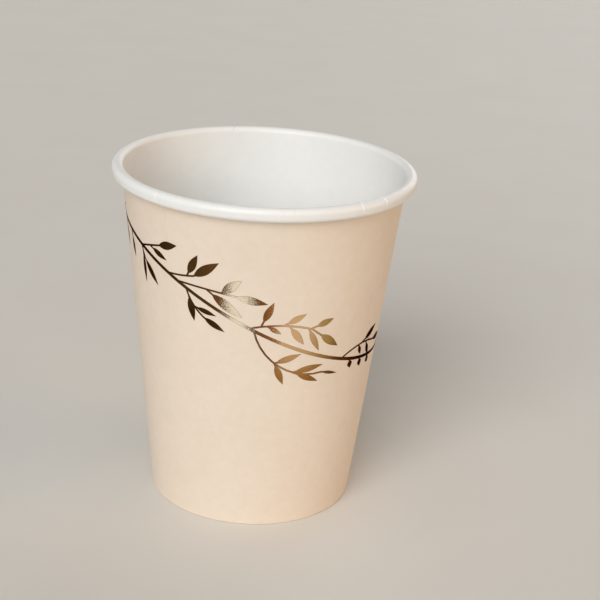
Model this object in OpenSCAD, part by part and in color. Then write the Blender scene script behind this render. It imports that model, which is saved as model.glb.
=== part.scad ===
// A paper cup for hot drinks: a rolled side wall with a glued lap seam, a recessed base disc
// and a leafy garland in gold foil that winds once round the wall.
// The origin is the middle of the base, on the table. +Z is up, and the front faces -Y.

/* [Cup] */
// Outside diameter across the rolled rim
rim_d = 80; // [74:1:90]
// Outside diameter of the wall at the table
base_d = 55; // [48:1:60]
// Height from the table to the top of the rim
height = 92; // [85:1:120]

/* [Board] */
// Thickness of the side wall's board
wall_t = 0.35; // [0.25:0.05:0.45]
// Thickness of the base disc's board
disc_t = 0.35; // [0.25:0.05:0.45]
// Clearance between two glued layers
glue_gap = 0.02; // [0.01:0.01:0.05]
// Inside radius of a sharp fold
fold_r = 0.03; // [0.02:0.01:0.08]

/* [Lap seam] */
// Width of the overlap, round the cup at half its height
lap_w = 7; // [5:0.5:10]
// Where the seam is, in degrees round from the front
seam_turn = 191; // [185:1:198]
// Height at which the outer flap is pressed flat into the hem's fold
lap_foot = 1; // [0.5:0.1:2]

/* [Rolled rim] */
// Width of the roll, from the inside of the cup outwards
roll_w = 3; // [2.6:0.1:4]
// Straight stretch on the outside of the roll
roll_side = 0.8; // [0.2:0.1:1.5]
// Gap between the underside of the roll and the wall
roll_gap = 0.1; // [0.05:0.05:0.3]
// Length of the cut edge that is tucked up inside the roll
tuck_l = 0.8; // [0.4:0.1:1]

/* [Base] */
// Height of the base disc's underside above the table
recess = 8; // [7.5:0.5:12]
// Height of the hem that is turned up inside the base
hem_h = 6; // [4:0.5:6.5]
// Gap under the skirt's cut edge, in the fold of the hem
skirt_gap = 0.3; // [0.1:0.1:1]
// Inside radius of the bend between the disc and its skirt
disc_r = 0.3; // [0.1:0.1:0.6]

/* [Foil garland] */
// Thickness of the foil
film_t = 0.05; // [0.03:0.01:0.1]
// Clearance between the foil and the wall
film_gap = 0.01; // [0.01:0.01:0.02]
// Distance from the rim's top down to the middle of the stem's ring
stem_drop = 30.5; // [26:0.5:40]
// Tilt of the stem's ring
stem_tilt = 27; // [15:1:30]
// Where the stem is lowest, in degrees round from the front
stem_low = 78; // [60:1:90]
// Size of one unit in the lists of sprigs
sprig_unit = 1; // [0.8:0.05:1.2]
// Width of the main stem
stem_w = 0.9; // [0.6:0.1:1.4]
// Width of the branches and leaf stalks
branch_w = 0.5; // [0.3:0.1:0.8]
// How far forward the widest part of a leaf lies: under 1 is nearer the stalk
leaf_belly = 0.85; // [0.7:0.05:1.1]

/* [Hidden] */

// Degrees of bend between two points on a fold or a roll
bend_step = 10;
// Points along each edge of a leaf, and along a branch
leaf_steps = 8;
branch_steps = 10;
// Reach of a sprig's cutter inside and outside the wall's face at the sprig's middle
cutter_in = 8;
cutter_out = 3;
// Bends below this many degrees count as straight
straight = 0.01;
// Facets of a full circle in a preview
$fn = 180;

quarter_turn = 90;
half_turn = 2 * quarter_turn;
full_turn = 2 * half_turn;
degrees = half_turn / PI;
// Turn of -Y, the front, from +X
front = -quarter_turn;

// The wall leans out from the table to the roll, and touches the roll's inner side.
rim_r = rim_d / 2;
base_r = base_d / 2;
roll_r = roll_w / 2;
roll_mid = [rim_r - roll_r, height - roll_r];
foot_to_roll = roll_mid - [base_r, 0];
wall_lean = acos((roll_r - wall_t) / norm(foot_to_roll)) - atan2(foot_to_roll.y, foot_to_roll.x);
wall_up = [sin(wall_lean), cos(wall_lean)];
wall_out = [cos(wall_lean), -sin(wall_lean)];
lap_turn = lap_w / ((rim_r + base_r) / 2) * degrees;

// The hem, the skirt and the wall lie face to face, with glue between them.
pocket_w = disc_t + 2 * glue_gap;
fold_flat = (pocket_w - 2 * fold_r) / cos(wall_lean);
fold_reach = [2 * fold_r * cos(wall_lean) + fold_flat, -2 * fold_r * sin(wall_lean)];
inner_foot = [base_r, 0] - wall_t * wall_out;
foot_z = wall_t + fold_r * (1 - sin(wall_lean));
wall_foot = [inner_foot.x + (foot_z - inner_foot.y) * tan(wall_lean), foot_z];
hem_top = wall_foot - fold_reach + hem_h * wall_up;

// The roll closes on itself under its own straight side, just clear of the wall.
under_r = (roll_w - wall_t - roll_gap) / 2;

// The middle of the stem's ring, the stretch of wall that may carry foil, and the flap's edges left clear.
stem_z = height - stem_drop;
film_clear = 2 * film_gap / base_r * degrees;
film_foot = recess;
film_top = height - roll_w - roll_side - roll_gap;

// A leaf is [place along its branch, turn from the branch, stalk, length, width].
// A sprig is [turn from the stem at its root, further turn along the branch, length, leaves].
single = [-62, 0, 2, [
    [2, 0, 0, 5.5, 1.4],
]];
bud = [-63, 0, 0.6, [
    [0.6, 0, 0, 2.4, 1.8],
]];
pair = [34, 0, 8, [
    [4.2, -35, 1.2, 5.5, 1.6],
    [8, -1, 0, 6.6, 2.2],
]];
drop = [-47, 0, 3.8, [
    [1.7, -20, 1, 7.5, 1.3],
    [3.8, 17, 0.3, 7.5, 1.8],
]];
fork = [26, 9, 8.2, [
    [6.2, 53, 0.8, 6.3, 2.2],
    [8.2, 23, 0, 8.6, 2.5],
]];
long = [24, -8, 16.5, [
    [8.5, -30, 1.8, 9.6, 2.6],
    [12.5, 44, 0.2, 6.4, 2.5],
    [16.5, -2, 0, 8, 2.2],
]];
short = [-47, 35, 8.8, [
    [2, -13, 0.4, 6.6, 2],
    [5.2, 37, 0.5, 5.6, 1.4],
    [8.8, 8, 0, 6.3, 1.7],
]];
full = [42, -34, 16.5, [
    [3, 58, 1.4, 6, 2],
    [4.5, -36, 0.5, 3.8, 1.3],
    [8.7, 30, 1.2, 5.3, 1.7],
    [10.2, -47, 0.8, 6.1, 1.9],
    [15.5, -47, 0.7, 6.9, 1.7],
    [16.2, 36, 1.7, 5, 1.8],
    [16.5, -18, 3.3, 6.9, 2.2],
]];
trailing = [-49, 83, 25, [
    [11, 58, 0.3, 6.9, 1.8],
    [11, -28, 0.6, 6.1, 1.8],
    [16.7, 29, 0.5, 8, 1.8],
    [17, -6, 0.8, 6.9, 1.7],
    [25, -22, 0, 5.2, 0.9],
]];
side = [46, -50, 15, [
    [7, -69, 0.4, 3.2, 1.3],
    [8.3, 21, 1.5, 6.8, 2],
    [10.7, -55, 0.9, 4.5, 1.5],
    [15, 14, 0.8, 7.7, 2],
]];

// Where the sprigs leave the stem: [sprig, degrees round from the front, extra turn].
sprigs = [
    [single, -79, 0],
    [single, -69, 0],
    [drop, -58.5, 0],
    [pair, -58, 0],
    [fork, -41, 0],
    [long, -36, 0],
    [short, -31.5, 0],
    [full, -3.5, 0],
    [trailing, -1.5, 0],
    [side, 42, 0],
    [bud, 48, 0],
    [bud, 56, 0],
    [bud, 64, 0],
    [pair, 86, -5],
    [short, 90, 0],
    [fork, 104, 0],
    [long, 109, 0],
    [drop, 112, 0],
    [full, 140, -8],
    [trailing, 142, 0],
    [fork, 201, -10],
    [long, 206, -5],
    [short, 210, 0],
    [full, 236, -14],
    [trailing, 238, 0],
];

// Places and headings

// Point reached after going a distance along a course that starts at a heading and turns evenly.
function along(start, heading, turn_per_mm, run) =
    let (half = turn_per_mm * run / 2)
    let (chord = abs(half) < straight ? run : run * sin(half) / half * degrees)
    start + chord * [cos(heading + half), sin(heading + half)];

// Point to the left of a heading.
function beside(point, heading, distance) = point + distance * [-sin(heading), cos(heading)];

// Radius of the wall's outer face.
function wall_r(z) = base_r + z * tan(wall_lean);

// Height of the stem at a place round the cup: a tilted plane meets the leaning wall.
function stem_height(turn) =
    let (fall = tan(stem_tilt) * cos(turn - stem_low))
    (stem_z - fall * base_r) / (1 + fall * tan(wall_lean));

// Slope of the stem at that place.
function stem_slope(turn) = atan(tan(stem_tilt) * sin(turn - stem_low));

// Board sections

// A board's course is a list of moves, each a straight [length, 0] or a bend [radius, turn].
function move_run(move) = move[1] == 0 ? move[0] : move[0] * abs(move[1]) / degrees;
function move_rate(move) = move[1] == 0 ? 0 : sign(move[1]) * degrees / move[0];
function after(place, move) = [
    along(place[0], place[1], move_rate(move), move_run(move)),
    place[1] + move[1],
];
function stops(start, moves) = [
    for (i = 0, at = start; i < len(moves); at = after(at, moves[i]), i = i + 1) at
];
function last_stop(start, moves) = after(stops(start, moves)[len(moves) - 1], moves[len(moves) - 1]);
function traced(start, moves) = [
    for (i = [0 : len(moves) - 1])
        let (steps = max(1, ceil(abs(moves[i][1]) / bend_step)))
        for (k = [0 : steps - 1])
            let (share = k / steps)
            [
                along(stops(start, moves)[i][0], stops(start, moves)[i][1],
                    move_rate(moves[i]), move_run(moves[i]) * share),
                stops(start, moves)[i][1] + moves[i][1] * share,
            ],
    last_stop(start, moves),
];

// Section of a board: one face follows the moves, and the thickness lies to their right.
module board_section(start, moves, thickness) {
    course = traced(start, moves);
    face = [for (stop = course) stop[0]];
    back = [for (i = [len(course) - 1 : -1 : 0]) beside(course[i][0], course[i][1], -thickness)];
    polygon(concat(face, back));
}

// Section of the side wall from the hem's cut edge to the edge tucked into the roll.
module wall_section() {
    roll_start = roll_mid - roll_r * wall_out;
    board_section([hem_top, -quarter_turn - wall_lean], [
        [hem_h, 0],
        [fold_r, quarter_turn + wall_lean],
        [fold_flat, 0],
        [fold_r, quarter_turn - wall_lean],
        [norm(roll_start - wall_foot), 0],
        [roll_r, -half_turn],
        [roll_side, 0],
        [under_r, -half_turn],
        [tuck_l, 0],
    ], wall_t);
}

// Section of a layer on the wall's outer face, between two distances from that face.
module layer_section(from, to, foot, top) {
    inner = [base_r, 0] + from * wall_out;
    outer = [base_r, 0] + to * wall_out;
    polygon([
        for (corner = [[inner, foot], [outer, foot], [outer, top], [inner, top]])
            [corner[0].x + (corner[1] - corner[0].y) * tan(wall_lean), corner[1]]
    ]);
}

// Turns a section through part of a circle, centred on a place round from the front.
module swept(middle, turn) {
    rotate([0, 0, front + middle - turn / 2])
        rotate_extrude(angle = turn)
            children();
}

// Side wall: a blank rolled to a cone, hemmed below and curled above, with its outer flap lapped on
module side_wall() {
    color("antiquewhite") {
        rotate_extrude() wall_section();
        swept(seam_turn, lap_turn) layer_section(-wall_t / 2, wall_t, lap_foot, roll_mid.y);
    }
}

// Base disc with a skirt turned down into the hem
module base_disc() {
    outer_r = disc_r + disc_t;
    disc_top = recess + disc_t;
    skirt_face = [base_r, 0] - (wall_t + glue_gap) * wall_out;
    bend_end_z = disc_top - outer_r * (1 + sin(wall_lean));
    bend_end_r = skirt_face.x + (bend_end_z - skirt_face.y) * tan(wall_lean);
    skirt_end_z = wall_t + skirt_gap;
    color("white")
        rotate_extrude()
            board_section([[0, disc_top], 0], [
                [bend_end_r - outer_r * cos(wall_lean), 0],
                [outer_r, -quarter_turn - wall_lean],
                [(bend_end_z - skirt_end_z) / cos(wall_lean), 0],
            ], disc_t);
}

// Foil garland

// A sprig in millimetres.
function in_mm(sprig) = [
    sprig[0],
    sprig[1],
    sprig[2] * sprig_unit,
    [for (leaf = sprig[3])
        [leaf[0] * sprig_unit, leaf[1], leaf[2] * sprig_unit, leaf[3] * sprig_unit, leaf[4] * sprig_unit]],
];

// Points of a leaf from its base, drawn flat.
function leaf_edge(base, heading, length, width, side) = [
    for (i = [1 : leaf_steps - 1])
        let (share = i / leaf_steps)
        let (half = width / 2 * sin(half_turn * pow(share, leaf_belly)))
        beside(along(base, heading, 0, length * share), heading, side * half)
];
function leaf_points(base, heading, length, width) =
    let (left = leaf_edge(base, heading, length, width, 1))
    let (right = leaf_edge(base, heading, length, width, -1))
    concat(
        [base],
        right,
        [along(base, heading, 0, length)],
        [for (i = [len(left) - 1 : -1 : 0]) left[i]]
    );

// Points of a strip of even width along a course.
function strip_points(start, heading, turn_per_mm, length, steps) =
    let (runs = [for (i = [0 : steps]) length * i / steps])
    let (sides = [for (side = [-1, 1]) [
        for (run = runs)
            beside(along(start, heading, turn_per_mm, run), heading + turn_per_mm * run, side * branch_w / 2)
    ]])
    concat(sides[0], [for (i = [steps : -1 : 0]) sides[1][i]]);

// A flat outline set on the round wall, seen straight on from its middle.
module wrapped(points, radius, middle) {
    polygon([for (p = points) [radius * sin((p.x - middle) / radius * degrees), p.y]]);
}

// Outline of a sprig on the wall, with its root at the origin.
module sprig_outline(sprig, heading, radius, middle) {
    rate = sprig[1] / sprig[2];
    wrapped(strip_points([0, 0], heading, rate, sprig[2], branch_steps), radius, middle);
    for (leaf = sprig[3]) {
        root = along([0, 0], heading, rate, leaf[0]);
        leaf_heading = heading + rate * leaf[0] + leaf[1];
        wrapped(strip_points(root, leaf_heading, 0, leaf[2] + branch_w, 1), radius, middle);
        wrapped(leaf_points(along(root, leaf_heading, 0, leaf[2]), leaf_heading, leaf[3], leaf[4]),
            radius, middle);
    }
}

// A sprig's outline pushed through the wall at its own place.
module sprig_cutter(sprig, turn, extra) {
    root_z = stem_height(turn);
    radius = wall_r(root_z);
    heading = stem_slope(turn) + sprig[0] + extra;
    middle = along([0, 0], heading, sprig[1] / sprig[2], sprig[2]).x / 2;
    rotate([0, 0, turn + middle / radius * degrees])
        translate([0, 0, root_z])
            rotate([quarter_turn, 0, 0])
                translate([0, 0, radius - cutter_in])
                    linear_extrude(cutter_in + cutter_out)
                        sprig_outline(sprig, heading, radius, middle);
}

// The plane of the stem's ring, as thick as the stem is wide.
module stem_cutter() {
    rotate([0, 0, front + stem_low])
        translate([0, 0, stem_z])
            rotate([0, stem_tilt, 0])
                cube([2 * rim_d, 2 * rim_d, stem_w], center = true);
}

// Section of the foil on a number of layers of board over the wall's face.
module film_section(layers) {
    lift = layers * wall_t + film_gap;
    layer_section(lift, lift + film_t, film_foot, film_top);
}

// Garland of leafy sprigs along a stem that runs once round the cup
module foil_garland() {
    color("goldenrod")
        intersection() {
            union() {
                swept(seam_turn + half_turn, full_turn - lap_turn - film_clear) film_section(0);
                swept(seam_turn, lap_turn) film_section(1);
            }
            union() {
                stem_cutter();
                for (place = sprigs)
                    sprig_cutter(in_mm(place[0]), place[1], place[2]);
            }
        }
}

side_wall();
base_disc();
foil_garland();
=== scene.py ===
import math

import bmesh
import bpy
from mathutils import Matrix, Vector


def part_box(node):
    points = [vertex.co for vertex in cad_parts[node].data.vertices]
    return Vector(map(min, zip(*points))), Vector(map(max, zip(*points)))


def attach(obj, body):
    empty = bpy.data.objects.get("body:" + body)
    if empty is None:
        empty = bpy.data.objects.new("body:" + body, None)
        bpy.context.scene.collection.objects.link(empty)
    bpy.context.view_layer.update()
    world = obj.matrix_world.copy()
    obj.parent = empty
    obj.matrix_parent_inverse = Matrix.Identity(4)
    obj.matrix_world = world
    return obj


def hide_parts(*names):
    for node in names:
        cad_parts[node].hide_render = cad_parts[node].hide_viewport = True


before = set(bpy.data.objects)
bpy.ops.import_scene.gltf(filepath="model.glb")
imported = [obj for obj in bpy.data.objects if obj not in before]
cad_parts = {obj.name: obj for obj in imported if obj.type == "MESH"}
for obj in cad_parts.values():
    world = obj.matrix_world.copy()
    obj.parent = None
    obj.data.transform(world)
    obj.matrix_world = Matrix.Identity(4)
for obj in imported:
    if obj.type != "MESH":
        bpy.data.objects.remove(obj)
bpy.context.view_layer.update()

MM = 0.001
QUARTER = math.pi / 2
FULL = 2 * math.pi

# Sizes of the cup, in metres, as the solids have them

RIM_R = 40 * MM
BASE_R = 27.5 * MM
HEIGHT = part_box("side_wall")[1].z
WALL_T = 0.35 * MM
DISC_T = 0.35 * MM
GLUE_GAP = 0.02 * MM
FOLD_R = 0.03 * MM
ROLL_W = 3 * MM
ROLL_SIDE = 0.8 * MM
ROLL_GAP = 0.1 * MM
TUCK_L = 0.8 * MM
RECESS = 8 * MM
HEM_H = 6 * MM
SKIRT_GAP = 0.3 * MM
DISC_BEND_R = 0.3 * MM
LAP_W = 7 * MM
SEAM_TURN = math.radians(191)
LAP_FOOT = 1 * MM

ROLL_R = ROLL_W / 2
UNDER_R = (ROLL_W - WALL_T - ROLL_GAP) / 2
ROLL_MID = Vector((RIM_R - ROLL_R, 0, HEIGHT - ROLL_R))
FOOT_TO_ROLL = ROLL_MID - Vector((BASE_R, 0, 0))
LEAN = (math.acos((ROLL_R - WALL_T) / FOOT_TO_ROLL.length)
        - math.atan2(FOOT_TO_ROLL.z, FOOT_TO_ROLL.x))
WALL_UP = Vector((math.sin(LEAN), 0, math.cos(LEAN)))
WALL_OUT = Vector((math.cos(LEAN), 0, -math.sin(LEAN)))
LAP_TURN = LAP_W / (RIM_R + BASE_R) * 2

# The foil's film, its height over the wall, and the height of the solid foil's outer face

FILM_LIFT = 0.05 * MM
FILM_T = 0.03 * MM
OUTLINE_W = 0.12 * MM
SKIN_LEVEL = 0.06 * MM

# Creases across the roll: turn from the front in degrees, half width in mm, depth in mm
CREASES = [
    (-41, 0.5, 0.10),
    (-30, 0.4, 0.07),
    (8, 0.3, 0.08),
    (11.5, 0.2, 0.14),
    (37.5, 0.2, 0.26),
    (49.5, 0.2, 0.20),
    (194, 1.0, 0.30),
]

# How far to each side of a crease the roll's faces are cut
CREASE_REACH = math.radians(3)

# How finely the meshes are drawn, and what counts as one point or as on a line

COLUMNS = 288
BEND_STEP = math.radians(7.5)
WALL_RINGS = 6
DISC_RINGS = 8
FLAP_STEPS = 10
WELD = 0.001 * MM
ON_LINE = 20 * WELD
SMOOTH_ANGLE = math.radians(32)

# Spin turns clockwise about its axis, so these axes point the other way.
SPIN_LEFT = (0, 1, 0)
SPIN_ROUND = (0, 0, -1)

# Material slots that a sheet's far side and cut edges take when it gets its thickness
FAR_SLOT = 1
CUT_SLOT = 2


# Edit-mode helpers

def out_of_edit():
    if bpy.context.object and bpy.context.object.mode != "OBJECT":
        bpy.ops.object.mode_set(mode="OBJECT")


def only(piece):
    out_of_edit()
    bpy.ops.object.select_all(action="DESELECT")
    piece.select_set(True)
    bpy.context.view_layer.objects.active = piece


def editing(piece, level="VERT"):
    only(piece)
    bpy.ops.object.mode_set(mode="EDIT")
    bpy.ops.mesh.select_mode(type=level)


def pick(piece, vert=None, face=None):
    """Selects, in edit mode, the points or the faces that a rule allows."""
    mesh = bmesh.from_edit_mesh(piece.data)
    bpy.ops.mesh.select_all(action="DESELECT")
    if vert:
        for v in mesh.verts:
            v.select = vert(v)
    if face:
        for f in mesh.faces:
            f.select = face(f)
    mesh.select_flush_mode()
    bmesh.update_edit_mesh(piece.data)


def one_point(name, place):
    """A new piece that is one point so far."""
    out_of_edit()
    bpy.ops.object.select_all(action="DESELECT")
    bpy.ops.mesh.primitive_plane_add(size=MM, location=(0, 0, 0))
    piece = bpy.context.object
    piece.name = name
    piece.data.name = name
    editing(piece)
    bpy.ops.mesh.select_all(action="SELECT")
    bpy.ops.mesh.merge(type="CENTER")
    bpy.ops.transform.translate(value=place)
    return piece


def draw_course(place, heading, moves):
    """Draws on from the selected point: straight runs (length, 0, rings), bends (radius, turn)."""
    at = place.copy()
    for size, turn, *rings in moves:
        ahead = Vector((math.cos(heading), 0, math.sin(heading)))
        left = Vector((-math.sin(heading), 0, math.cos(heading)))
        if turn == 0:
            steps = rings[0] if rings else 1
            for _ in range(steps):
                bpy.ops.mesh.extrude_region_move(
                    TRANSFORM_OT_translate={"value": ahead * size / steps})
            at += ahead * size
        else:
            centre = at + left * math.copysign(size, turn)
            steps = max(2, math.ceil(abs(turn) / BEND_STEP))
            bpy.ops.mesh.spin(steps=steps, angle=turn, center=centre, axis=SPIN_LEFT)
            at = centre + Matrix.Rotation(turn, 3, (0, -1, 0)) @ (at - centre)
            heading += turn


def spin_round(columns, angle=FULL, close=True):
    bpy.ops.mesh.select_all(action="SELECT")
    bpy.ops.mesh.spin(steps=columns, angle=angle, center=(0, 0, 0), axis=SPIN_ROUND)
    if close:
        bpy.ops.mesh.select_all(action="SELECT")
        bpy.ops.mesh.remove_doubles(threshold=WELD)


def face_towards(piece, rule):
    """Turns the whole sheet over if its faces point away from the side that the rule names."""
    bpy.ops.mesh.select_all(action="SELECT")
    bpy.ops.mesh.normals_make_consistent(inside=False)
    mesh = bmesh.from_edit_mesh(piece.data)
    mesh.normal_update()
    if not rule(mesh):
        bpy.ops.mesh.flip_normals()


def outwardness(f):
    """Above 0 for a face that looks away from the cup's axis, below 0 for one that looks at it."""
    middle = f.calc_center_median()
    return f.normal.x * middle.x + f.normal.y * middle.y


def thicken(piece, thickness, materials, even=True):
    """Gives a sheet its thickness: its own side, far side and cut edges take three materials."""
    only(piece)
    piece.data.materials.clear()
    for finish in materials:
        piece.data.materials.append(finish)
    layer = piece.modifiers.new("layer", "SOLIDIFY")
    layer.thickness = thickness
    layer.offset = -1
    layer.use_even_offset = even
    layer.use_quality_normals = True
    layer.material_offset = FAR_SLOT
    layer.material_offset_rim = CUT_SLOT
    bpy.ops.object.modifier_apply(modifier=layer.name)


def smooth(piece):
    only(piece)
    bpy.ops.object.shade_smooth_by_angle(angle=SMOOTH_ANGLE)


def round_from_front(place):
    return math.atan2(place.x, -place.y)


def turned(vector, from_front):
    """A vector drawn in the +X half plane, taken round to a place counted from the front."""
    return Matrix.Rotation(from_front - QUARTER, 3, "Z") @ vector


# Shader expressions

class Wire:
    """A socket of a material's nodes. Sums and products of wires and numbers add Math nodes."""

    def __init__(self, tree, socket=None):
        self.tree = tree
        self.socket = socket

    def node(self, kind, settings, sockets, out=0):
        """Adds a node: its settings first, then its sockets' values or links. Gives one output."""
        made = self.tree.nodes.new(kind)
        for name, value in settings.items():
            if name == "stops":
                ramp = made.color_ramp
                while len(ramp.elements) < len(value):
                    ramp.elements.new(0.5)
                for element, (position, colour) in zip(ramp.elements, value):
                    element.position = position
                    element.color = (*colour, 1)
            elif name == "interpolation":
                made.color_ramp.interpolation = value
            else:
                setattr(made, name, value)
        for name, value in sockets.items():
            if isinstance(value, Wire):
                self.tree.links.new(value.socket, made.inputs[name])
            else:
                made.inputs[name].default_value = value
        return Wire(self.tree, made.outputs[out])

    def maths(self, operation, a, b):
        return self.node("ShaderNodeMath", {"operation": operation}, {0: a, 1: b})

    def __add__(self, other):
        return self.maths("ADD", self, other)

    def __radd__(self, other):
        return self.maths("ADD", other, self)

    def __sub__(self, other):
        return self.maths("SUBTRACT", self, other)

    def __rsub__(self, other):
        return self.maths("SUBTRACT", other, self)

    def __mul__(self, other):
        return self.maths("MULTIPLY", self, other)

    def __rmul__(self, other):
        return self.maths("MULTIPLY", other, self)

    def __truediv__(self, other):
        return self.maths("DIVIDE", self, other)

    def __rtruediv__(self, other):
        return self.maths("DIVIDE", other, self)


def linear(red, green, blue):
    """An 8-bit screen colour as light."""
    return tuple((c / 255 / 12.92 if c < 11 else ((c / 255 + 0.055) / 1.055) ** 2.4)
                 for c in (red, green, blue))


def new_finish(name):
    """A new material: its wire to start from, its place on the piece, and its shader."""
    material = bpy.data.materials.new(name)
    material.use_nodes = True
    shader = material.node_tree.nodes["Principled BSDF"]
    start = Wire(material.node_tree)
    place = start.node("ShaderNodeTexCoord", {}, {}, "Object")
    return material, start, place, shader


def plug(material, wire, shader, name):
    material.node_tree.links.new(wire.socket, shader.inputs[name])


def noise(start, place, size, detail, roughness):
    """Soft random patches of about a size, in metres."""
    return start.node("ShaderNodeTexNoise", {}, {
        "Vector": place, "Scale": 1 / size, "Detail": detail, "Roughness": roughness})


def blend(start, amount, a, b, way="MIX"):
    """One colour into another; either may be a wire."""
    a = a if isinstance(a, Wire) else (*a, 1)
    b = b if isinstance(b, Wire) else (*b, 1)
    settings = {"data_type": "RGBA", "blend_type": way}
    return start.node("ShaderNodeMix", settings, {0: amount, 6: a, 7: b}, 2)


def bump(start, height, depth, strength):
    return start.node("ShaderNodeBump", {}, {
        "Height": height, "Distance": depth, "Strength": strength})


def spread(start, wire, at_zero, at_one):
    """0 where a value is at the first end of a range, 1 at the other, and level beyond both."""
    return start.node("ShaderNodeMapRange", {"clamp": True}, {
        "Value": wire, "From Min": at_zero, "From Max": at_one})


# Board: blush print outside, white coat inside, bare underneath and at the cut edges

FIBRE = 0.12 * MM
SPECK = 0.35 * MM
MOTTLE = 2.2 * MM
CLOUD = 18 * MM


def paper(name, pale, deep, roughness, fibre_depth, gloss):
    """Board: fine fibres, soft mottling and a little unevenness in its sheen."""
    material, start, place, shader = new_finish(name)
    fibre = noise(start, place, FIBRE, 4.0, 0.6)
    mottle = noise(start, place, MOTTLE, 3.0, 0.55)
    cloud = noise(start, place, CLOUD, 2.0, 0.5)
    speck = spread(start, noise(start, place, SPECK, 2.0, 0.5), 0.62, 0.78)
    depth = spread(start, 0.35 * fibre + 0.35 * mottle + 0.30 * cloud, 0.36, 0.64)
    plug(material, blend(start, depth + 0.25 * speck, pale, deep), shader, "Base Color")
    sheen = roughness + 0.12 * (mottle - 0.5) + 0.08 * (fibre - 0.5)
    plug(material, sheen, shader, "Roughness")
    relief = 0.6 * fibre + 0.4 * mottle
    plug(material, bump(start, relief, fibre_depth, 0.6), shader, "Normal")
    shader.inputs["Specular IOR Level"].default_value = gloss
    return material


BLUSH_PRINT = paper("blush_print", linear(241, 226, 209), linear(235, 218, 199),
                    roughness=0.62, fibre_depth=0.012 * MM, gloss=0.35)
WHITE_COAT = paper("white_coat", linear(246, 246, 244), linear(241, 241, 238),
                   roughness=0.42, fibre_depth=0.006 * MM, gloss=0.5)
CUT_EDGE = paper("cut_edge", linear(238, 232, 220), linear(222, 212, 194),
                 roughness=0.8, fibre_depth=0.03 * MM, gloss=0.2)
BARE_BOARD = paper("bare_board", linear(240, 237, 230), linear(228, 223, 212),
                   roughness=0.75, fibre_depth=0.02 * MM, gloss=0.25)


# Gold foil: its gold with painted reflections, dark and pale, by turn from the front, in degrees

FOIL_DARK = linear(58, 48, 26)
FOIL_BRONZE = linear(84, 62, 34)
FOIL_BROWN = linear(126, 82, 46)
FOIL_COPPER = linear(170, 112, 66)
FOIL_TAN = linear(252, 210, 156)
FOIL_PALE = linear(255, 244, 220)
FOIL_OLIVE = linear(204, 168, 102)
FOIL_GOLD = linear(206, 158, 88)
FOIL_WORN = linear(150, 112, 58)

FOIL_GOLD_AND_PAINTED_REFLECTIONS = [(from_front / 360 + 0.5, colour) for from_front, colour in (
    (-180, FOIL_GOLD),
    (-160, FOIL_COPPER),
    (-145, FOIL_GOLD),
    (-130, FOIL_COPPER),
    (-110, FOIL_GOLD),
    (-85, FOIL_DARK),
    (-48, FOIL_DARK),
    (-28, FOIL_BRONZE),
    (-15, FOIL_BROWN),
    (-10.5, FOIL_PALE),
    (-5, FOIL_PALE),
    (0, FOIL_BROWN),
    (6, FOIL_COPPER),
    (11, FOIL_TAN),
    (21, FOIL_TAN),
    (31, FOIL_OLIVE),
    (41, FOIL_BROWN),
    (50, FOIL_BRONZE),
    (75, FOIL_DARK),
    (92, FOIL_BROWN),
    (104, FOIL_GOLD),
    (122, FOIL_COPPER),
    (140, FOIL_GOLD),
    (160, FOIL_BROWN),
    (180, FOIL_GOLD),
)]

# Painted dark reflection on the low leaves and, more, on the low left ones: heights and turns where
# that starts and is full
LOW_PAINTED_REFLECTION_HEIGHTS = (55 * MM, 45 * MM)
LOW_PAINTED_REFLECTION_TINT = linear(190, 164, 118)
LEFT_PAINTED_REFLECTION_HEIGHTS = (66 * MM, 61 * MM)
LEFT_PAINTED_REFLECTION_FROM = (math.radians(-12), math.radians(-17))
LEFT_PAINTED_REFLECTION_TO = (math.radians(-70), math.radians(-60))
LEFT_PAINTED_REFLECTION_TINT = linear(138, 150, 120)

GRAIN = 0.22 * MM
STIPPLE = 0.2 * MM
WEAR = 0.8 * MM
DRIFT = 7 * MM


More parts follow.
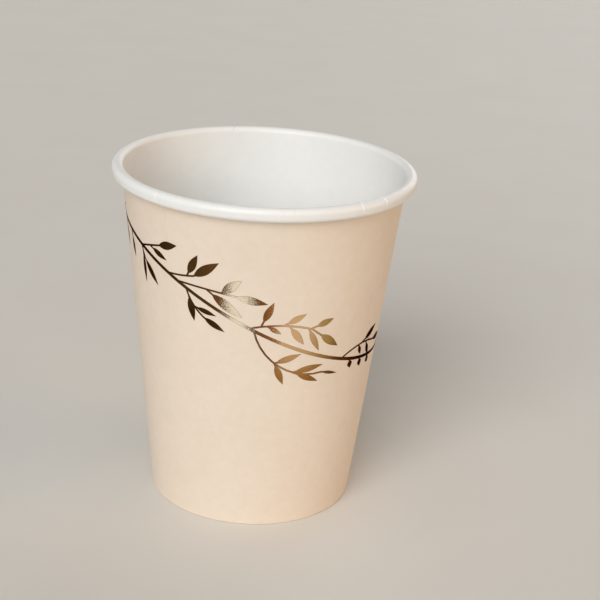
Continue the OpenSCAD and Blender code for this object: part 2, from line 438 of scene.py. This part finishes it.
def gold_foil():
    """Hot-stamped foil: metal with a fine stipple and wear, painted reflections by turn and height,
    and a painted dark reflection along its edge.
    """
    material, start, place, shader = new_finish("gold_foil")
    across, along, up = (start.node("ShaderNodeSeparateXYZ", {}, {"Vector": place}, axis)
                         for axis in "XYZ")
    angle = start.maths("ARCTAN2", across, -1 * along)
    drift = noise(start, place, DRIFT, 2.0, 0.5) - 0.5
    grain = noise(start, place, GRAIN, 3.0, 0.6)
    stipple = noise(start, place, STIPPLE, 2.0, 0.6) - 0.5
    wear = spread(start, noise(start, place, WEAR, 3.0, 0.6), 0.55, 0.8)
    # Painted reflections: the ramp makes the foil darker or paler by turn round the cup.
    turn = angle / FULL + 0.5 + 0.02 * drift + 0.045 * stipple
    gold_and_painted_reflection = start.node("ShaderNodeValToRGB", {"interpolation": "EASE", "stops": FOIL_GOLD_AND_PAINTED_REFLECTIONS},
                      {"Fac": turn})
    # Painted dark reflection on the low leaves and the low left ones.
    low_painted_reflection = spread(start, up, *LOW_PAINTED_REFLECTION_HEIGHTS)
    low_left_painted_reflection = (spread(start, angle, *LEFT_PAINTED_REFLECTION_FROM) * spread(start, angle, *LEFT_PAINTED_REFLECTION_TO)
                * spread(start, up, *LEFT_PAINTED_REFLECTION_HEIGHTS))
    deep = blend(start, low_painted_reflection, gold_and_painted_reflection, LOW_PAINTED_REFLECTION_TINT, "MULTIPLY")
    deep = blend(start, low_left_painted_reflection, deep, LEFT_PAINTED_REFLECTION_TINT, "MULTIPLY")
    worn = blend(start, 0.14 * grain + 0.08 * wear, deep, FOIL_WORN)
    # Painted dark reflection along the foil's edge.
    edge = start.node("ShaderNodeAttribute", {"attribute_name": "pressed_edge"}, {}, "Fac")
    plug(material, blend(start, 0.7 * edge, worn, FOIL_BROWN), shader, "Base Color")
    paleness = spread(start, start.node("ShaderNodeRGBToBW", {}, {"Color": gold_and_painted_reflection}), 0.6, 0.9)
    dullness = 0.22 + 0.12 * grain + 0.1 * wear + 0.3 * paleness
    plug(material, dullness, shader, "Roughness")
    plug(material, bump(start, grain, 0.004 * MM, 0.5), shader, "Normal")
    shader.inputs["Metallic"].default_value = 1.0
    shader.inputs["Specular Tint"].default_value = (*FOIL_WORN, 1)
    return material


GOLD_FOIL = gold_foil()


# Side wall: hem, fold, leaning wall and rolled rim drawn as one course and spun round

def side_wall_board():
    pocket = DISC_T + 2 * GLUE_GAP
    fold_flat = (pocket - 2 * FOLD_R) / math.cos(LEAN)
    fold_reach = Vector((2 * FOLD_R * math.cos(LEAN) + fold_flat, 0, -2 * FOLD_R * math.sin(LEAN)))
    inner_foot = Vector((BASE_R, 0, 0)) - WALL_T * WALL_OUT
    foot_z = WALL_T + FOLD_R * (1 - math.sin(LEAN))
    wall_foot = Vector((inner_foot.x + (foot_z - inner_foot.z) * math.tan(LEAN), 0, foot_z))
    hem_top = wall_foot - fold_reach + HEM_H * WALL_UP
    roll_start = ROLL_MID - ROLL_R * WALL_OUT
    board = one_point("cup_wall", hem_top)
    draw_course(hem_top, -QUARTER - LEAN, [
        (HEM_H, 0, 2),
        (FOLD_R, QUARTER + LEAN),
        (fold_flat, 0),
        (FOLD_R, QUARTER - LEAN),
        ((roll_start - wall_foot).length, 0, WALL_RINGS),
        (ROLL_R, -math.pi),
        (ROLL_SIDE, 0, 2),
        (UNDER_R, -math.pi),
        (TUCK_L, 0),
    ])
    spin_round(COLUMNS)
    face_towards(board, lambda mesh: sum(
        outwardness(f) for f in mesh.faces
        if RECESS < f.calc_center_median().z < HEIGHT / 2) < 0)
    for crease in CREASES:
        press_crease(board, *crease)
    out_of_edit()
    thicken(board, WALL_T, [WHITE_COAT, BLUSH_PRINT, CUT_EDGE])
    return board


def press_crease(board, degrees, half_mm, depth_mm):
    """Presses a narrow line across the roll, as the curling tool leaves where the board buckles."""
    middle = math.radians(degrees)
    half = half_mm * MM / RIM_R
    centre = turned(ROLL_MID, middle)
    across = turned(Vector((0, 1, 0)), middle)
    outward = turned(Vector((1, 0, 0)), middle)

    def near(f):
        place = f.calc_center_median()
        off = math.remainder(round_from_front(place) - middle, FULL)
        return place.z > ROLL_MID.z - ROLL_SIDE - ROLL_R and abs(off) < CREASE_REACH

    def on_crease(v):
        """The roll's outer turn on the crease, above the line where the wall runs into it."""
        arm = v.co - centre
        return (abs(v.co.dot(across)) < WELD and v.co.dot(outward) > 0
                and arm.length > UNDER_R + WALL_T / 4
                and (arm.z > ROLL_R / 5 or arm.dot(outward) > 0 and arm.z > -ROLL_SIDE))

    for turn in (middle - half, middle + half, middle):
        bpy.ops.mesh.select_mode(type="FACE")
        pick(board, face=near)
        bpy.ops.mesh.bisect(plane_co=(0, 0, 0), plane_no=turned(Vector((0, 1, 0)), turn))
    bpy.ops.mesh.select_mode(type="VERT")
    pick(board, vert=on_crease)
    scale = 1 - depth_mm * MM / ROLL_R
    bpy.ops.transform.resize(value=(scale,) * 3, center_override=centre)


# Outer flap of the lap seam: a step along one edge, easing into the wall at the other.
# Its face stands off the wall by these shares of the board: all along, and more at the step.

FLAP_LIFT = 0.1
FLAP_RISE = 0.87


def seam_flap():
    first_turn = SEAM_TURN - LAP_TURN / 2
    top = ROLL_MID.z - ROLL_SIDE
    foot = Vector((BASE_R, 0, 0)) + WALL_UP * (LAP_FOOT / WALL_UP.z)
    rise = WALL_UP * ((top - LAP_FOOT) / WALL_UP.z)
    flap = one_point("seam_flap", turned(foot, first_turn))
    for _ in range(WALL_RINGS):
        bpy.ops.mesh.extrude_region_move(
            TRANSFORM_OT_translate={"value": turned(rise / WALL_RINGS, first_turn)})
    spin_round(FLAP_STEPS, LAP_TURN, close=False)
    face_towards(flap, lambda mesh: sum(outwardness(f) for f in mesh.faces) > 0)
    for step in range(FLAP_STEPS + 1):
        share = step / FLAP_STEPS
        turn = first_turn + LAP_TURN * step / FLAP_STEPS
        lift = WALL_T * (FLAP_LIFT + FLAP_RISE * (1 - (1 - share) ** 2))
        across = turned(Vector((0, 1, 0)), turn)
        pick(flap, vert=lambda v: abs(v.co.dot(across)) < ON_LINE)
        bpy.ops.transform.translate(value=turned(WALL_OUT * lift, turn))
    out_of_edit()
    thicken(flap, WALL_T, [BLUSH_PRINT, BLUSH_PRINT, CUT_EDGE])
    return flap


# Base disc: flat, bent down at its edge into a skirt

def base_board():
    outer_r = DISC_BEND_R + DISC_T
    disc_top = RECESS + DISC_T
    skirt_face = Vector((BASE_R, 0, 0)) - (WALL_T + GLUE_GAP) * WALL_OUT
    bend_end_z = disc_top - outer_r * (1 + math.sin(LEAN))
    bend_end_r = skirt_face.x + (bend_end_z - skirt_face.z) * math.tan(LEAN)
    skirt_end_z = WALL_T + SKIRT_GAP
    middle = Vector((0, 0, disc_top))
    disc = one_point("cup_base", middle)
    draw_course(middle, 0, [
        (bend_end_r - outer_r * math.cos(LEAN), 0, DISC_RINGS),
        (outer_r, -QUARTER - LEAN),
        ((bend_end_z - skirt_end_z) / math.cos(LEAN), 0, 2),
    ])
    spin_round(COLUMNS)
    face_towards(disc, lambda mesh: sum(
        f.normal.z for f in mesh.faces if f.calc_center_median().z > disc_top - WELD) > 0)
    out_of_edit()
    thicken(disc, DISC_T, [WHITE_COAT, BARE_BOARD, CUT_EDGE])
    return disc


# Foil: the garland's outer skin, laid on the wall's own round face

def on_skin(place):
    """True on the outer face of the solid foil, over one layer of board or two."""
    level = (math.hypot(place.x, place.y) - BASE_R) * math.cos(LEAN) - place.z * math.sin(LEAN)
    return min(abs(level - SKIN_LEVEL), abs(level - SKIN_LEVEL - WALL_T)) < SKIN_LEVEL / 4


def foil_print(wall):
    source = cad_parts["foil_garland"]
    film = bpy.data.objects.new("foil_garland_print", source.data.copy())
    bpy.context.scene.collection.objects.link(film)
    only(film)
    bpy.ops.mesh.customdata_custom_splitnormals_clear()
    editing(film)
    bpy.ops.mesh.select_all(action="SELECT")
    bpy.ops.mesh.remove_doubles(threshold=WELD / 10)
    bpy.ops.mesh.select_mode(type="FACE")
    pick(film, face=lambda f: not all(on_skin(v.co) for v in f.verts))
    bpy.ops.mesh.delete(type="FACE")
    bpy.ops.mesh.select_all(action="SELECT")
    bpy.ops.mesh.subdivide(number_cuts=1)
    outline_for_painted_reflection(film)
    only(film)
    lay = film.modifiers.new("lay", "SHRINKWRAP")
    lay.target = wall
    lay.wrap_method = "NEAREST_SURFACEPOINT"
    lay.wrap_mode = "ABOVE_SURFACE"
    lay.offset = FILM_LIFT
    bpy.ops.object.modifier_apply(modifier=lay.name)
    thicken(film, FILM_T, [GOLD_FOIL] * 3, even=False)
    crisp_outline(film)
    return film


def outline_for_painted_reflection(film):
    """Borders the skin with a narrow band, and marks its outer side for the painted dark reflection
    along the edge.
    """
    bpy.ops.mesh.select_all(action="SELECT")
    bpy.ops.mesh.inset(thickness=OUTLINE_W, use_boundary=True, use_even_offset=False)
    bpy.ops.geometry.attribute_add(name="pressed_edge", domain="POINT", data_type="FLOAT")
    bpy.ops.mesh.select_mode(type="VERT")
    pick(film, vert=lambda v: v.is_boundary)
    bpy.ops.mesh.attribute_set(value_float=1.0)
    out_of_edit()


def crisp_outline(film):
    """Keeps the foil's cut edge apart from its faces in the shading, and leaves it one material."""
    editing(film, "FACE")
    pick(film, face=lambda f: f.material_index == CUT_SLOT)
    bpy.ops.mesh.region_to_loop()
    bpy.ops.mesh.mark_sharp()
    bpy.ops.mesh.select_all(action="SELECT")
    film.active_material_index = 0
    bpy.ops.object.material_slot_assign()
    out_of_edit()
    bpy.ops.object.material_slot_remove_unused()


wall = side_wall_board()
flap = seam_flap()
only(wall)
flap.select_set(True)
bpy.ops.object.join()
smooth(wall)
base = base_board()
smooth(base)
film = foil_print(wall)
smooth(film)

for piece, node, slot in ((wall, "side_wall", "wall_board"), (base, "base_disc", "base_board"),
                          (film, "foil_garland", "gold_foil")):
    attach(piece, "root")
    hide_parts(node)


# Floor and light

FLOOR_SIZE = 6
FLOOR_PATCH = 40 * MM
NEAR_WHITE = (1.0, 0.998, 0.99)
WARM = (1.0, 0.6, 0.26)

# Lamps: turn from the front, height and width in degrees, strength, colour
LAMPS = [
    ("key", -20, 31, 42, 2.1, NEAR_WHITE),
    ("top_fill", -20, 75, 42, 0.32, NEAR_WHITE),
    ("warm_fill", 80, 12, 34, 0.72, WARM),
    ("back_fill", 155, 14, 36, 0.55, NEAR_WHITE),
]


def pale_floor():
    out_of_edit()
    bpy.ops.object.select_all(action="DESELECT")
    bpy.ops.mesh.primitive_plane_add(size=FLOOR_SIZE, location=(0, 0, 0))
    floor = bpy.context.object
    floor.name = "floor"
    material, start, place, shader = new_finish("pale_floor")
    patches = noise(start, place, FLOOR_PATCH, 3.0, 0.5)
    colour = blend(start, patches, linear(226, 223, 217), linear(221, 217, 210))
    plug(material, colour, shader, "Base Color")
    shader.inputs["Roughness"].default_value = 0.7
    floor.data.materials.append(material)


def soft_lamp(name, from_front, elevation, width, strength, colour):
    """A wide, far soft box, which lights the floor evenly too."""
    level = math.radians(elevation)
    aside = turned(Vector((math.cos(level), 0, math.sin(level))), math.radians(from_front))
    data = bpy.data.lights.new(name, "SUN")
    data.angle = math.radians(width)
    data.energy = strength
    data.color = colour
    lamp = bpy.data.objects.new(name, data)
    bpy.context.scene.collection.objects.link(lamp)
    lamp.location = aside
    lamp.rotation_euler = (-aside).to_track_quat("-Z", "Y").to_euler()


def even_world(strength, seen):
    """Even light from all round, and a pale backdrop where the camera or a reflection meets it."""
    world = bpy.data.worlds.new("studio")
    world.use_nodes = True
    background = world.node_tree.nodes["Background"]
    background.inputs["Color"].default_value = (1.0, 0.99, 0.97, 1)
    start = Wire(world.node_tree)
    looking, mirrored, through = (
        start.node("ShaderNodeLightPath", {}, {}, ray)
        for ray in ("Is Camera Ray", "Is Glossy Ray", "Is Transmission Ray"))
    backdrop = start.maths("MINIMUM", looking + mirrored + through, 1.0)
    level = strength + (seen - strength) * backdrop
    world.node_tree.links.new(level.socket, background.inputs["Strength"])
    bpy.context.scene.world = world


# Camera at the photograph's viewing angle: picture and focal length in pixels, sensor in mm

PICTURE = 600
FOCAL = 1476.5
SENSOR = 36
AIM_AT = Vector((0, 0, 45 * MM))
AIM_SEEN = (257.3, 329.5)
DISTANCE = 403.8 * MM
ELEVATION = math.radians(22.18)
TILT = math.radians(2.81)


def photo_camera():
    data = bpy.data.cameras.new("camera")
    data.sensor_width = SENSOR
    data.lens = FOCAL / PICTURE * SENSOR
    data.clip_start = 10 * MM
    camera = bpy.data.objects.new("camera", data)
    bpy.context.scene.collection.objects.link(camera)
    back = Vector((0, -math.cos(ELEVATION), math.sin(ELEVATION)))
    right = Vector((1, 0, 0))
    up = Vector((0, math.sin(ELEVATION), math.cos(ELEVATION)))
    tilted_right = right * math.cos(TILT) + up * math.sin(TILT)
    tilted_up = up * math.cos(TILT) - right * math.sin(TILT)
    facing = Matrix((tilted_right, tilted_up, back)).transposed()
    middle = PICTURE / 2
    seen = Vector(((AIM_SEEN[0] - middle) / FOCAL, (middle - AIM_SEEN[1]) / FOCAL, -1)).normalized()
    aside = seen.rotation_difference(Vector((0, 0, -1))).to_matrix()
    camera.matrix_world = Matrix.Translation(AIM_AT + back * DISTANCE) @ (facing @ aside).to_4x4()
    bpy.context.scene.camera = camera


pale_floor()
for lamp in LAMPS:
    soft_lamp(*lamp)
even_world(strength=0.15, seen=0.72)
photo_camera()
bpy.context.scene.view_settings.view_transform = "Standard"
